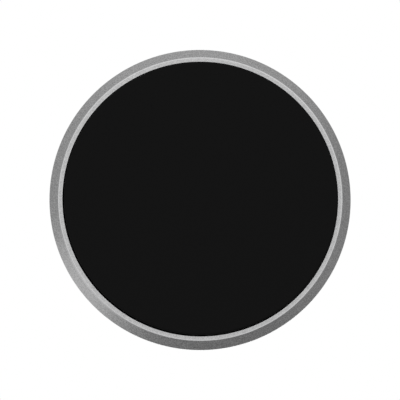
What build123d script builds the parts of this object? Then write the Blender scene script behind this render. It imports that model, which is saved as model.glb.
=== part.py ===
from build123d import *
import os
from math import hypot

# Magnetic security tag detacher: a turned aluminium puck that stands on a rubber pad.
# A stepped magnet pack fills it. Its pole tip shows at the floor of a conical cup in the
# top face, and that cup is where the clutch of a hard tag is put to be released.
# Millimetres, +Z up, origin at the centre of the pad's underside, cup on top.

# ---------------------------------------------------------------- driving dimensions
BODY_D = 70.0
HEIGHT = 40.0
TOP_ROUND = 4.0          # radius of the outer top edge

BASE_CHAMFER = 2.1       # 45 degree chamfer round the base
RIM_FLAT = 1.1           # width of the bright ring round the pad
RIM_ROUND = 0.4          # rounding between the ring and the chamfer
PAD_PROUD = 1.5          # how far the pad stands below the ring
PAD_T = 3.0
PAD_GAP = 0.25
GROOVE_BELOW_TOP = 9.0   # decorative groove round the housing
GROOVE_W = 0.9
GROOVE_DEPTH = 0.5

TAPE_T = 0.2
PLATE_T = 2.5
CUSHION_T = 0.8
YOKE_T = 2.5
BASE_MAGNET_T = 6.0
PACK_T = 9.0             # height of the ring magnets and what holds them
CORE_MAGNET_T = 5.0
GASKET_T = 0.6

PACK_R = 25.0            # radius of the base magnet
PACK_PLAY = 0.6          # between the base magnet and the housing
RING_MAGNET_R = 20.0
RING_MAGNETS = 8
RING_MAGNET_GAP = 0.8    # degrees, between one arc and the next
BAND_WALL = 1.2
CORE_R = 7.5
SLEEVE_WALL = 2.3
POLE_TIP_R = 4.5
POLE_CONE_H = 2.0
POCKET_R = 1.2           # weight-saving pockets of the centring ring
POCKETS = 18

LINER_FLANGE_R = 28.8
LINER_FLANGE_T = 3.2
LINER_WALL = 2.0
SEAT_R = 23.5            # recess for the adapter's flange, and for a round tag
SEAT_DEPTH = 2.0
CUP_MOUTH_R = 21.5       # the cone runs from here ...
CUP_BORE_R = 10.0        # ... to here
CUP_CONE_H = 7.2
CUP_FLOOR_Z = 27.2

ADAPTER_BORE_R = 7.0
ADAPTER_DISH_R = 17.0
ADAPTER_BORE_TOP_Z = 34.5
ADAPTER_GAP = 0.25       # all round, between the adapter and the liner
SCOOP_R = 3.2            # finger scoops beside the adapter
SCOOP_HALF_L = 4.0
SCOOP_RISE = 0.7         # height of a scoop's axis above the flange
KEY_W = 3.0              # index key of the adapter
KEY_REACH = 1.1
CORD_R = 0.5             # both rubber rings

SLIP = 0.1               # clearance of parts that are only dropped in
SCREW_SLIP = 0.2         # clearance round a screw
EDGE = 0.3               # usual broken edge
FINE_EDGE = 0.1

# ---------------------------------------------------------------- levels and radii
BODY_R = BODY_D / 2
RIM_Z = PAD_PROUD
BASE_BORE_R = BODY_R - BASE_CHAMFER - RIM_FLAT
PAD_R = BASE_BORE_R - PAD_GAP
PLATE_R = BASE_BORE_R - SLIP

TAPE_Z = PAD_T
PLATE_Z = TAPE_Z + TAPE_T
CUSHION_Z = PLATE_Z + PLATE_T
YOKE_Z = CUSHION_Z + CUSHION_T
BASE_MAGNET_Z = YOKE_Z + YOKE_T
PACK_Z = BASE_MAGNET_Z + BASE_MAGNET_T
GASKET_Z = PACK_Z + PACK_T
CEILING_Z = GASKET_Z + GASKET_T
CAVITY_R = PACK_R + PACK_PLAY

LINER_TOP_Z = HEIGHT - 0.3
FLANGE_Z = LINER_TOP_Z - LINER_FLANGE_T
SEAT_Z = LINER_TOP_Z - SEAT_DEPTH
CONE_FOOT_Z = SEAT_Z - CUP_CONE_H
NECK_R = CUP_BORE_R + LINER_WALL
NECK_BOTTOM_Z = CEILING_Z + 0.2
CONE_SLOPE = CUP_CONE_H / (CUP_MOUTH_R - CUP_BORE_R)

RING_GROOVE_DEPTH = 2 * CORD_R
RING_SET_IN = 0.42       # the cord's middle, in from the edge of its groove
SEAL_Z = NECK_BOTTOM_Z + 2.7
SEAL_GROOVE_W = 1.4
GRIP_Z = CUP_FLOOR_Z + ADAPTER_GAP + 1.85
GRIP_GROOVE_W = 1.3

SCOOP_CIRCLE_R = 24.95   # where the scoops' axes lie
FLANGE_SCREW_R = 26.2    # radius of the circle that the liner's screws stand on
FLANGE_SCREWS = (90, 210, 330)
BASE_SCREW_R = CAVITY_R + 2.5
BASE_SCREWS = (45, 135, 225, 315)
SCOOPS = (0, 180)
KEY_ANGLE = 270


# ---------------------------------------------------------------- shared shapes
def turned(*corners, arc=360):
    """Solid of revolution about Z. A corner is (radius, z) or (radius, z, corner radius)."""
    points = [corner[:2] for corner in corners]
    radii = [corner[2] if len(corner) > 2 else 0 for corner in corners]
    outline = Plane.XZ * FilletPolyline(*points, radius=radii, close=True)
    return revolve(make_face(outline), Axis.Z, revolution_arc=arc)


def disc(radius, low, thick, edge=EDGE):
    """A flat disc with broken edges."""
    high = low + thick
    return turned((0, low), (radius, low, edge), (radius, high, edge), (0, high))


def tube(inner, outer, low, thick, edge=EDGE):
    """A plain ring with broken edges."""
    high = low + thick
    return turned((inner, low, edge), (outer, low, edge), (outer, high, edge), (inner, high, edge))


def o_ring(radius, z, cord_r):
    """A torus of round rubber cord."""
    return Pos(0, 0, z) * Torus(radius, cord_r)


def around(angles, radius):
    """Places on a circle about Z, each turned so that its own X points outwards."""
    return [Rot(0, 0, angle) * Pos(radius, 0, 0) for angle in angles]


def cone_z(radius, offset=0.0):
    """Height of the cup's cone at a radius, moved off the surface by offset along its normal."""
    return CONE_FOOT_Z + (radius - CUP_BORE_R) * CONE_SLOPE + offset * hypot(1, CONE_SLOPE)


def countersunk_screw(shank_r, length, head_r, socket):
    """Countersunk hex socket screw, head face at z = 0 and looking along +Z, shank below."""
    rim = 0.15
    point = 0.4
    socket_depth = 0.6 * head_r
    cone_foot = -rim - (head_r - shank_r)
    body = turned(
        (0, 0), (head_r, 0, rim / 3), (head_r, -rim), (shank_r, cone_foot),
        (shank_r, -length + point), (shank_r - point, -length), (0, -length),
    )
    return body - extrude(RegularPolygon(socket / 2, 6, major_radius=False), -socket_depth)


def countersink(shank_r, head_r, depth):
    """The hole for such a screw, its mouth at z = 0, with a little room round the head."""
    mouth_r = head_r + SCREW_SLIP
    hole_r = shank_r + SCREW_SLIP
    rim = 0.2
    above = 1.0
    cone_foot = -rim - (mouth_r - hole_r)
    return turned(
        (0, above), (mouth_r, above), (mouth_r, -rim),
        (hole_r, cone_foot), (hole_r, -depth), (0, -depth),
    )


def tapped_hole(thread_r, depth):
    """Blind hole, its mouth at z = 0, going down to a drill point."""
    drill_point = 0.6 * thread_r
    return turned((0, 0), (thread_r, 0), (thread_r, -depth), (0, -depth - drill_point))


# ---------------------------------------------------------------- sizes of the screws
BASE_THREAD_R = 1.5      # M3
BASE_THREAD_DEPTH = 7.5
BASE_SCREW = (BASE_THREAD_R - 0.05, 8.0, 2.75, 2.0)      # shank, length, head, socket
BASE_HEAD_Z = PLATE_Z + 0.1
FLANGE_THREAD_R = 1.0    # M2
FLANGE_THREAD_DEPTH = 4.0
FLANGE_SCREW = (FLANGE_THREAD_R - 0.05, 6.0, 1.9, 1.3)
FLANGE_HEAD_Z = LINER_TOP_Z - 0.1


# ---------------------------------------------------------------- casing
def housing():
    """Turned shell: chamfered base rim, round shoulder, cup seat, and the magnet cavity."""
    groove_z = HEIGHT - GROOVE_BELOW_TOP
    groove_top = groove_z + GROOVE_W
    groove_slant = 0.1
    shell = turned(
        (BASE_BORE_R, RIM_Z, FINE_EDGE),
        (BODY_R - BASE_CHAMFER, RIM_Z, RIM_ROUND),
        (BODY_R, RIM_Z + BASE_CHAMFER, 0.15),
        (BODY_R, groove_z, 0.12),
        (BODY_R - GROOVE_DEPTH, groove_z + groove_slant, 0.12),
        (BODY_R - GROOVE_DEPTH, groove_top - groove_slant, 0.12),
        (BODY_R, groove_top, 0.12),
        (BODY_R, HEIGHT, TOP_ROUND),
        (LINER_FLANGE_R + SLIP, HEIGHT, EDGE),
        (LINER_FLANGE_R + SLIP, FLANGE_Z),
        (CUP_BORE_R + (FLANGE_Z - cone_z(CUP_BORE_R, -LINER_WALL - SLIP)) / CONE_SLOPE, FLANGE_Z),
        (NECK_R + SLIP, cone_z(NECK_R + SLIP, -LINER_WALL - SLIP)),
        (NECK_R + SLIP, CEILING_Z, 0.2),
        (CAVITY_R, CEILING_Z, 0.5),
        (CAVITY_R, CUSHION_Z, 0.2),
        (BASE_BORE_R, CUSHION_Z),
    )
    base_hole = Pos(0, 0, CUSHION_Z) * Rot(180, 0, 0) * tapped_hole(BASE_THREAD_R, BASE_THREAD_DEPTH)
    for place in around(BASE_SCREWS, BASE_SCREW_R):
        shell -= place * base_hole
    flange_hole = Pos(0, 0, FLANGE_Z) * tapped_hole(FLANGE_THREAD_R, FLANGE_THREAD_DEPTH)
    for place in around(FLANGE_SCREWS, FLANGE_SCREW_R):
        shell -= place * flange_hole
    return shell


def base_plate():
    """Steel disc that closes the magnet cavity, countersunk for its screws."""
    plate = disc(PLATE_R, PLATE_Z, PLATE_T)
    hole = countersink(BASE_SCREW[0], BASE_SCREW[2], PLATE_T + 1)
    for place in around(BASE_SCREWS, BASE_SCREW_R):
        plate -= place * Pos(0, 0, PLATE_Z) * Rot(180, 0, 0) * hole
    return plate


def base_screws():
    """The four screws of the base plate, heads downwards."""
    screw = Pos(0, 0, BASE_HEAD_Z) * Rot(180, 0, 0) * countersunk_screw(*BASE_SCREW)
    return Compound([place * screw for place in around(BASE_SCREWS, BASE_SCREW_R)])


# ---------------------------------------------------------------- magnet pack
def ring_magnet(number):
    """One radially magnetised arc of the ring round the core."""
    step = 360 / RING_MAGNETS
    inner = CORE_R + SLEEVE_WALL + 2 * SLIP
    high = PACK_Z + PACK_T
    profile = ((inner, PACK_Z), (RING_MAGNET_R, PACK_Z), (RING_MAGNET_R, high), (inner, high))
    arc = turned(*profile, arc=step - RING_MAGNET_GAP)
    return Rot(0, 0, number * step + RING_MAGNET_GAP / 2) * fillet(arc.edges(), EDGE)


def pole_cap():
    """Soft iron cone that gathers the field from the core magnet at the cup's floor."""
    low = PACK_Z + CORE_MAGNET_T
    return turned(
        (0, low),
        (CORE_R, low, EDGE),
        (CORE_R, GASKET_Z, EDGE),
        (POLE_TIP_R, GASKET_Z + POLE_CONE_H, 0.5),
        (POLE_TIP_R, CUP_FLOOR_Z, 0.25),
        (0, CUP_FLOOR_Z),
    )


def centring_ring():
    """Moulded ring that centres the pack in the housing, with blind weight-saving pockets."""
    inner = RING_MAGNET_R + BAND_WALL + 2 * SLIP
    outer = CAVITY_R - 2 * SLIP
    pocket_depth = PACK_T - 2.0
    ring = tube(inner, outer, PACK_Z, PACK_T)
    pocket = Cylinder(POCKET_R, pocket_depth, align=(Align.CENTER, Align.CENTER, Align.MIN))
    for place in around(range(0, 360, 360 // POCKETS), (inner + outer) / 2):
        ring -= place * Pos(0, 0, PACK_Z) * pocket
    return ring


# ---------------------------------------------------------------- cup
def finger_scoop():
    """Trough across the flange, round at both ends, for lifting the adapter."""
    trough = Cylinder(SCOOP_R, 2 * SCOOP_HALF_L, rotation=(90, 0, 0))
    for side in (-1, 1):
        trough += Pos(0, side * SCOOP_HALF_L, 0) * Sphere(SCOOP_R)
    return trough


def key(width, outer):
    """Block of the index key, from inside the flange to the given radius."""
    inner = CUP_MOUTH_R
    length = outer - inner
    block = Box(length, width, SEAT_DEPTH, align=(Align.MIN, Align.CENTER, Align.MIN))
    return Rot(0, 0, KEY_ANGLE) * Pos(inner, 0, 0) * block


def cup_liner():
    """Black wear liner of the cup: flange, adapter seat, cone, neck and pierced floor."""
    groove_z = SEAL_Z - SEAL_GROOVE_W / 2
    groove_r = NECK_R - RING_GROOVE_DEPTH
    relief_r = 6.8
    relief_top = NECK_BOTTOM_Z + 1.2
    liner = turned(
        (LINER_FLANGE_R, FLANGE_Z),
        (LINER_FLANGE_R, LINER_TOP_Z, 0.3),
        (SEAT_R, LINER_TOP_Z, 0.25),
        (SEAT_R, SEAT_Z, 0.2),
        (CUP_MOUTH_R, SEAT_Z, 0.4),
        (CUP_BORE_R, CONE_FOOT_Z, 0.8),
        (CUP_BORE_R, CUP_FLOOR_Z, 0.3),
        (POLE_TIP_R + SLIP, CUP_FLOOR_Z),
        (POLE_TIP_R + SLIP, relief_top),
        (relief_r, relief_top),
        (relief_r, NECK_BOTTOM_Z),
        (NECK_R, NECK_BOTTOM_Z, 0.3),
        (NECK_R, groove_z),
        (groove_r, groove_z),
        (groove_r, groove_z + SEAL_GROOVE_W),
        (NECK_R, groove_z + SEAL_GROOVE_W),
        (NECK_R, cone_z(NECK_R, -LINER_WALL)),
        (CUP_BORE_R + (FLANGE_Z - cone_z(CUP_BORE_R, -LINER_WALL)) / CONE_SLOPE, FLANGE_Z),
    )
    hole = countersink(FLANGE_SCREW[0], FLANGE_SCREW[2], LINER_FLANGE_T + 1)
    for place in around(FLANGE_SCREWS, FLANGE_SCREW_R):
        liner -= place * Pos(0, 0, LINER_TOP_Z) * hole
    for place in around(SCOOPS, SCOOP_CIRCLE_R):
        liner -= place * Pos(0, 0, LINER_TOP_Z + SCOOP_RISE) * finger_scoop()
    play = 0.3
    return liner - Pos(0, 0, SEAT_Z) * key(KEY_W + 2 * play, SEAT_R + KEY_REACH + play)


def liner_seal_ring():
    """Rubber ring in the groove of the liner's neck. It keeps spills out of the magnets."""
    return o_ring(NECK_R - RING_SET_IN, SEAL_Z, CORD_R)


def liner_screws():
    """The three small screws of the liner's flange."""
    screw = Pos(0, 0, FLANGE_HEAD_Z) * countersunk_screw(*FLANGE_SCREW)
    return Compound([place * screw for place in around(FLANGE_SCREWS, FLANGE_SCREW_R)])


# ---------------------------------------------------------------- lift-out adapter
def adapter_insert():
    """Ring that narrows the cup for pencil and mini tags. It lifts straight out."""
    flange_r = SEAT_R - ADAPTER_GAP
    flange_z = SEAT_Z + ADAPTER_GAP
    nose_r = CUP_BORE_R - ADAPTER_GAP
    bottom = CUP_FLOOR_Z + ADAPTER_GAP
    groove_z = GRIP_Z - GRIP_GROOVE_W / 2
    groove_r = nose_r - RING_GROOVE_DEPTH
    plug_top_r = CUP_BORE_R + (flange_z - cone_z(CUP_BORE_R, ADAPTER_GAP)) / CONE_SLOPE
    insert = turned(
        (flange_r, flange_z, 0.5),
        (flange_r, LINER_TOP_Z, 0.3),
        (ADAPTER_DISH_R, LINER_TOP_Z, 0.8),
        (ADAPTER_BORE_R, ADAPTER_BORE_TOP_Z, 0.8),
        (ADAPTER_BORE_R, bottom, 0.2),
        (nose_r, bottom, 0.6),
        (nose_r, groove_z),
        (groove_r, groove_z),
        (groove_r, groove_z + GRIP_GROOVE_W),
        (nose_r, groove_z + GRIP_GROOVE_W),
        (nose_r, cone_z(nose_r, ADAPTER_GAP), 0.6),
        (plug_top_r, flange_z, 0.2),
    )
    lug = key(KEY_W, SEAT_R + KEY_REACH) - Cylinder(SEAT_R - 1.0, HEIGHT)
    lug = split(lug, Plane.XY.offset(LINER_TOP_Z - flange_z - EDGE), keep=Keep.BOTTOM)
    return insert + Pos(0, 0, flange_z) * lug


def adapter_grip_ring():
    """Rubber ring on the adapter's nose. It keeps the adapter from rattling in the cup."""
    return o_ring(CUP_BORE_R - ADAPTER_GAP - RING_SET_IN, GRIP_Z, CORD_R)


# ---------------------------------------------------------------- all nodes
NODES = {
    "anti_slip_pad": disc(PAD_R, 0, PAD_T, 0.4),
    "adhesive_disc": disc(PAD_R - EDGE, TAPE_Z, TAPE_T, 0),
    "base_plate": base_plate(),
    "base_screws": base_screws(),
    "cushion_disc": disc(PACK_R - 0.5, CUSHION_Z, CUSHION_T, 0),
    "back_iron": disc(PACK_R + PACK_PLAY / 2, YOKE_Z, YOKE_T, 0.4),
    "base_magnet": disc(PACK_R, BASE_MAGNET_Z, BASE_MAGNET_T, 0.5),
    "core_magnet": disc(CORE_R, PACK_Z, CORE_MAGNET_T),
    "pole_cap": pole_cap(),
    "core_sleeve": tube(CORE_R + SLIP, CORE_R + SLIP + SLEEVE_WALL, PACK_Z, PACK_T, 0.2),
    "magnet_band": tube(
        RING_MAGNET_R + SLIP, RING_MAGNET_R + SLIP + BAND_WALL, PACK_Z, PACK_T, 0.2
    ),
    "centring_ring": centring_ring(),
    "top_gasket": tube(NECK_R + 0.5, PACK_R, GASKET_Z, GASKET_T, 0),
    "housing": housing(),
    "cup_liner": cup_liner(),
    "liner_seal_ring": liner_seal_ring(),
    "liner_screws": liner_screws(),
    "adapter_insert": adapter_insert(),
    "adapter_grip_ring": adapter_grip_ring(),
}
for number in range(RING_MAGNETS):
    NODES[f"ring_magnet_{number + 1}"] = ring_magnet(number)

os.makedirs("parts", exist_ok=True)
for name, shape in NODES.items():
    shape.label = name
    export_step(shape, f"parts/{name}.step")
    print(f"{name:20s} {shape.volume:10.1f} mm3")
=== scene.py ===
# %% [markdown]
# # A magnetic tag detacher in a light tent
#
# The object is a turned aluminium puck that stands on a black rubber pad. Its top holds a black cup with a
# loose grey adapter, where the clutch of a hard security tag is put to be opened by the magnets below.
#
# The CAD model gives every size and every place. Blender could be given a copy of it and new shapes fitted
# by eye, but then the two would drift apart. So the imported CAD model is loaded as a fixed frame, finer
# surfaces are laid over the pieces that show, and every piece gets its finish.

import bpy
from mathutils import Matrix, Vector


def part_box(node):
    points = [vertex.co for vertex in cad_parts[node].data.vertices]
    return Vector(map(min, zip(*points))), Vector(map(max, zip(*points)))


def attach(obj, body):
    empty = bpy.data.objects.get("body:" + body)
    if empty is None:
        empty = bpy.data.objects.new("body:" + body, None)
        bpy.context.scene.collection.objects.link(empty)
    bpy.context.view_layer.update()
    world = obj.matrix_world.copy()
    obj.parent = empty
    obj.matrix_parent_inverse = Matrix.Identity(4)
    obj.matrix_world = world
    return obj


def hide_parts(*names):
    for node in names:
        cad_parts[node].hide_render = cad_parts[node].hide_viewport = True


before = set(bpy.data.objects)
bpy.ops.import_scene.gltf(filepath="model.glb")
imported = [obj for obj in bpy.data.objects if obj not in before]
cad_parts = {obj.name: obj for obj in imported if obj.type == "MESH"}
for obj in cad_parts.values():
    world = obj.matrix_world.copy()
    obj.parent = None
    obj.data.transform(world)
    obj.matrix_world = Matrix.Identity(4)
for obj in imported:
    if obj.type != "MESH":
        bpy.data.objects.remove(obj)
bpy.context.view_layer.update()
MM = 0.001

# %% [markdown]
# ## From outline to surface
#
# Nearly every piece here comes off a lathe or out of a round mould, so it is one outline carried round the
# upright axis. Blender has a Screw modifier for that, but it knows nothing of edges. Here the outline is
# worked out first, with a small arc at every corner, because no real edge is perfectly sharp: the arc is
# what catches the light as a fine line.

# %% The arc at each corner
import numpy as np


def corner_arcs(here, back, ahead, size, steps):
    """Points of an arc at each corner, and how far from the corner the arc begins.

    A circle of radius size touches both runs at size / tan(half the corner's angle) from the corner, and its
    centre lies on the corner's bisector. The arc turns evenly from one touching point to the other.
    back and ahead are directions of length 1 along the two runs.
    """
    half = np.arccos(np.clip((back * ahead).sum(1, keepdims=True), -1, 1)) / 2
    touch = size / np.tan(half)
    bisector = (back + ahead) / np.linalg.norm(back + ahead, axis=1, keepdims=True)
    middle = here + bisector * size / np.sin(half)
    first, last = here + back * touch - middle, here + ahead * touch - middle
    share = np.linspace(0, 1, steps + 1)[None, :, None]
    turn = (np.pi - 2 * half)[:, :, None]
    sweep = np.sin((1 - share) * turn) * first[:, None] + np.sin(share * turn) * last[:, None]
    return middle[:, None] + sweep / np.sin(turn), touch


left, up = np.array([[-1.0, 0.0]]), np.array([[0.0, 1.0]])
bend_from = corner_arcs(0 * up, left, up, 2.0, 4)[1][0, 0]
print("a square corner with a rounding of 2 mm begins to bend", bend_from, "mm before the corner")

# %% [markdown]
# Along with each point goes a number for wear, which the finishes read later: 1 on an outer edge, where
# hands rub, and -1 in an inner corner, where dust stays. Which of the two a corner is follows from the way
# it bends. A widely rounded edge wears less than a narrow one. On the pad, the outer edge's number also lays
# a painted highlight.

# %% Wear at each corner
WORN_ROUND = 0.6          # mm; edges rounded more than this wear less
NEAR_WEAR = 0.45          # what is left of the wear just beside an arc


def corner_wear(here, back, ahead, size, steps):
    """Wear at the points of each corner: two before the arc, those of the arc, and two after it. The outline
    runs round its shape one way or the other, and its signed area says which."""
    r, z = here.T
    way_round = np.sign((r * np.roll(z, -1) - np.roll(r, -1) * z).sum())
    bend = np.sign(back[:, 1] * ahead[:, 0] - back[:, 0] * ahead[:, 1]) * way_round
    along = [0, NEAR_WEAR, *[1] * (steps + 1), NEAR_WEAR, 0]
    return bend[:, None] * np.minimum(1, WORN_ROUND / size) * along


print("wear on an edge rounded by 4 mm:", np.minimum(1, WORN_ROUND / 4.0))

# %% [markdown]
# The whole outline is the arcs joined by straight runs. A surface shaded smoothly would carry the bend of
# an arc into the flat beside it, so each run gets two more points: one close to the arc, which stops the
# bend, and one further off, where the wear has faded out.

# %% The whole outline
NEAR, FAR = 0.12, 0.8     # mm from an arc to the two points beside it, where the run has room
CLOSEST = 0.012           # mm between two points of an outline; nearer ones become one


def eased(corners, ring=True, steps=6, sharp=0.02):
    """Points of an outline with arcs at its corners, as rows of (radius, height, wear).

    A corner is (radius, height, rounding), and sharp is the rounding of those that give none. Two more
    points on each run, near and far from the arc, keep the arc's shading off the flat.
    """
    rows = np.array([(*corner, sharp)[:3] for corner in corners], float)
    ends = rows[[0, -1]]
    if ring:
        rows = np.vstack([rows[-1], rows, rows[0]])
    here, size = rows[1:-1, :2], rows[1:-1, 2:]
    runs = np.diff(rows[:, :2], axis=0)
    lengths = np.linalg.norm(runs, axis=1, keepdims=True)
    towards = runs / lengths
    back, ahead = -towards[:-1], towards[1:]
    arc, touch = corner_arcs(here, back, ahead, size, steps)
    used = np.concatenate([touch[-1:], touch, touch[:1]] if ring else [[[0]], touch, [[0]]])
    free = lengths - used[:-1] - used[1:]
    near, far = np.minimum(NEAR, free * 0.2), np.minimum(FAR, free * 0.45)
    before = [here + back * (touch + gap[:-1]) for gap in (far, near)]
    after = [here + ahead * (touch + gap[1:]) for gap in (near, far)]
    points = np.concatenate([np.stack(before, 1), arc, np.stack(after, 1)], axis=1)
    wear = corner_wear(here, back, ahead, size, steps)
    outline = np.dstack([points, wear[:, :, None]]).reshape(-1, 3)
    if not ring:
        outline = np.vstack([[*ends[0, :2], 0], outline, [*ends[1, :2], 0]])
    apart = np.linalg.norm(np.diff(outline[:, :2], axis=0, prepend=np.nan), axis=1)
    return outline[~(apart < CLOSEST)]


tried = eased([(1, 0, 0.1), (2, 0, 0.1), (2, 1, 0.1), (1, 1, 0.1)])
print("a square with eased corners has", len(tried), "points, with wear up to", tried[:, 2].max())

# %% [markdown]
# The surface itself is a grid: one row for each point of the outline, one column for each angle. Four
# neighbours make a face. Python could visit the points one by one, but a numbered grid gives all the faces
# at once: each is a point, the next one round, and the two in the next row.

# %% Number the faces of a grid
def grid_faces(shape, ring=True):
    """Four point numbers for each face of a grid of points. Columns run round the axis and always meet
    again. Rows meet again only for a ring outline."""
    number = np.arange(shape[0] * shape[1]).reshape(shape)
    if ring:
        number = np.vstack([number, number[:1]])
    beside = np.roll(number, -1, axis=1)
    return np.stack([number[:-1], beside[:-1], beside[1:], number[1:]], axis=-1).reshape(-1, 4)


print("two rows of three points have the faces", grid_faces((2, 3), ring=False).tolist())

# %% [markdown]
# Where an outline starts and ends on the axis, a whole row falls on one point. Those points are merged so
# that the shell is closed, and the faces are turned outwards after that. Most pieces need no more than their
# outline and even angles. A piece with a notch or a hole bends the grid first.

# %% Turn a grid of points into a piece
import bmesh
import bpy

WELD = 2e-7               # metres; points nearer than this become one


def surface(name, x, y, z, wear, ring=True):
    """A closed shell from a grid of places in mm, with the wear at each point as an attribute."""
    faces = grid_faces(x.shape, ring)
    mesh = bpy.data.meshes.new(name)
    mesh.vertices.add(x.size)
    mesh.vertices.foreach_set("co", (np.stack([x, y, z], -1) * MM).ravel())
    mesh.loops.add(faces.size)
    mesh.loops.foreach_set("vertex_index", faces.ravel())
    mesh.polygons.add(len(faces))
    mesh.polygons.foreach_set("loop_start", np.arange(0, faces.size, 4))
    mesh.update(calc_edges=True)
    mesh.attributes.new("wear", "FLOAT", "POINT").data.foreach_set("value", wear.ravel())
    shell = bmesh.new()
    shell.from_mesh(mesh)
    bmesh.ops.remove_doubles(shell, verts=shell.verts, dist=WELD)
    bmesh.ops.recalc_face_normals(shell, faces=shell.faces)
    shell.to_mesh(mesh)
    shell.free()
    mesh.shade_smooth()
    made = bpy.data.objects.new(name, mesh)
    bpy.context.collection.objects.link(made)
    print(f"{name}: {len(mesh.polygons)} faces")
    return made


def even_angles(count):
    """Angles evenly round the circle, in radians."""
    return np.arange(count) * 2 * np.pi / count


def turned(name, outline, angles=even_angles(288), ring=True, shape=None):
    """Each outline point (radius, height) at each angle a is at (radius cos a, radius sin a, height).
    shape may first change the radii and heights, as a function of radius, height and angle."""
    r, a = np.meshgrid(outline[:, 0], angles, indexing="ij")
    z, wear = (np.repeat(column[:, None], len(angles), axis=1) for column in outline[:, 1:].T)
    if shape:
        r, z = shape(r, z, a)
    return surface(name, r * np.cos(a), r * np.sin(a), z, wear, ring)


print("a turned piece has", len(even_angles(288)), "columns unless it asks for others")

# %% [markdown]
# ## The housing
#
# The real shell is turned from a bar, then blasted and anodised. Its base has a narrow flat ring round the
# pad and a chamfer outside it. A fine groove runs round under the rounded shoulder. Its inside is hidden,
# but it is made too, because a shell with a real wall stays true from every side.

# %% Sizes that several pieces share
def levels(node):
    """Lowest height, highest height and largest radius of a CAD node, in mm."""
    low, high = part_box(node)
    return low.z / MM, high.z / MM, high.x / MM


RIM_Z, TOP_Z, BODY_R = levels("housing")
LINER_FOOT_Z, LINER_TOP_Z, FLANGE_R = levels("cup_liner")
PAD_FOOT_Z, PAD_TOP_Z, PAD_R = levels("anti_slip_pad")
CAP_FOOT_Z, FLOOR_Z, CORE_R = levels("pole_cap")
FLANGE_HEIGHT, SEAT_DEPTH, CONE_HEIGHT = 3.2, 2.0, 7.2
FLANGE_Z = LINER_TOP_Z - FLANGE_HEIGHT
SEAT_Z = LINER_TOP_Z - SEAT_DEPTH
SEAT_R = 23.5
CONE_TOP_R = 21.5
CONE_FOOT_R = 10.0
CONE_FOOT_Z = SEAT_Z - CONE_HEIGHT
SLOPE = (SEAT_Z - CONE_FOOT_Z) / (CONE_TOP_R - CONE_FOOT_R)
LINER_WALL = 2.0
NECK_R = CONE_FOOT_R + LINER_WALL
PLAY = 0.1                # between a piece and the place it drops into


def cone_z(radius, off=0.0):
    """Height of the cup's cone at a radius, moved off its surface by a distance along its normal."""
    return CONE_FOOT_Z + (radius - CONE_FOOT_R) * SLOPE + off * np.hypot(1, SLOPE)


def cone_r(height, off=0.0):
    """The radius at which the moved cone reaches a height."""
    return CONE_FOOT_R + (height - cone_z(CONE_FOOT_R, off)) / SLOPE


print(f"body radius {BODY_R:.2f}, rim at {RIM_Z:.2f}, top at {TOP_Z:.2f}, cup floor at {FLOOR_Z:.2f}")

# %% [markdown]
# One closed outline goes up the outside, over the shoulder, down into the recess for the cup and back
# through the magnet cavity. The third number of a corner is its rounding: a wide one on the shoulder, hardly
# any on the edges that a tool has cut.

# %% The turned shell
CHAMFER = 2.1
RIM_FLAT = 1.1
BASE_BORE_R = BODY_R - CHAMFER - RIM_FLAT
GROOVE_BELOW_TOP, GROOVE_WIDTH, GROOVE_DEPTH = 8.1, 0.9, 0.5
GROOVE_TOP_Z = TOP_Z - GROOVE_BELOW_TOP
GROOVE_Z = GROOVE_TOP_Z - GROOVE_WIDTH
GROOVE_R = BODY_R - GROOVE_DEPTH
PACK_PLAY = 0.6           # round the magnets
SHOULDER_ROUND = 4.0
CAVITY_FOOT_Z = levels("base_plate")[1]
CAVITY_TOP_Z = levels("top_gasket")[1]
CAVITY_R = levels("base_magnet")[2] + PACK_PLAY

housing_outline = eased([
    (BASE_BORE_R, RIM_Z, 0.1),
    (BODY_R - CHAMFER, RIM_Z, 0.4),
    (BODY_R, RIM_Z + CHAMFER, 0.15),
    (BODY_R, GROOVE_Z, 0.12),
    (GROOVE_R, GROOVE_Z + 0.1, 0.12),
    (GROOVE_R, GROOVE_TOP_Z - 0.1, 0.12),
    (BODY_R, GROOVE_TOP_Z, 0.12),
    (BODY_R, TOP_Z, SHOULDER_ROUND),
    (FLANGE_R + PLAY, TOP_Z, 0.3),
    (FLANGE_R + PLAY, FLANGE_Z),
    (cone_r(FLANGE_Z, -LINER_WALL - PLAY), FLANGE_Z),
    (NECK_R + PLAY, cone_z(NECK_R + PLAY, -LINER_WALL - PLAY)),
    (NECK_R + PLAY, CAVITY_TOP_Z, 0.2),
    (CAVITY_R, CAVITY_TOP_Z, 0.5),
    (CAVITY_R, CAVITY_FOOT_Z, 0.2),
    (BASE_BORE_R, CAVITY_FOOT_Z),
], steps=8)
housing = turned("housing_shell", housing_outline)

# %% [markdown]
# ## The pad
#
# The pad is a die-cut disc of solid rubber, stuck to the base plate by hand. It stands a little prouder than
# the metal ring, so that only rubber touches the counter. A cylinder would do for its shape, but the cut
# edge is slightly rounded, the rubber dips by a few hundredths of a millimetre, and a disc stuck on by hand
# is never quite in the middle, so the gap round it is wider on one side.

# %% The rubber disc
STUCK_OFF = 0.14          # mm, and the angle it is off towards
STUCK_TOWARDS = np.radians(150)
LEVEL_R = 24.0            # inside this radius the pad's face is level
TWO_WAVES, FIVE_WAVES = 0.012, 0.008     # mm


def slight_waves(r, z, a):
    """Lifts the disc's lower edge by a few hundredths of a millimetre, in two and five slow waves round it.
    Then shifts each ring of the disc sideways, by its radius over the disc's radius times the distance."""
    outer = np.clip((r - LEVEL_R) / (PAD_R - LEVEL_R), 0, 1) ** 2
    dip = TWO_WAVES * (1 + np.sin(2 * a + 0.7)) + FIVE_WAVES * (1 + np.sin(5 * a))
    shifted = r + STUCK_OFF * np.cos(a - STUCK_TOWARDS) * r / PAD_R
    return shifted, z + outer * dip * (z < PAD_TOP_Z / 2)


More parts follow.
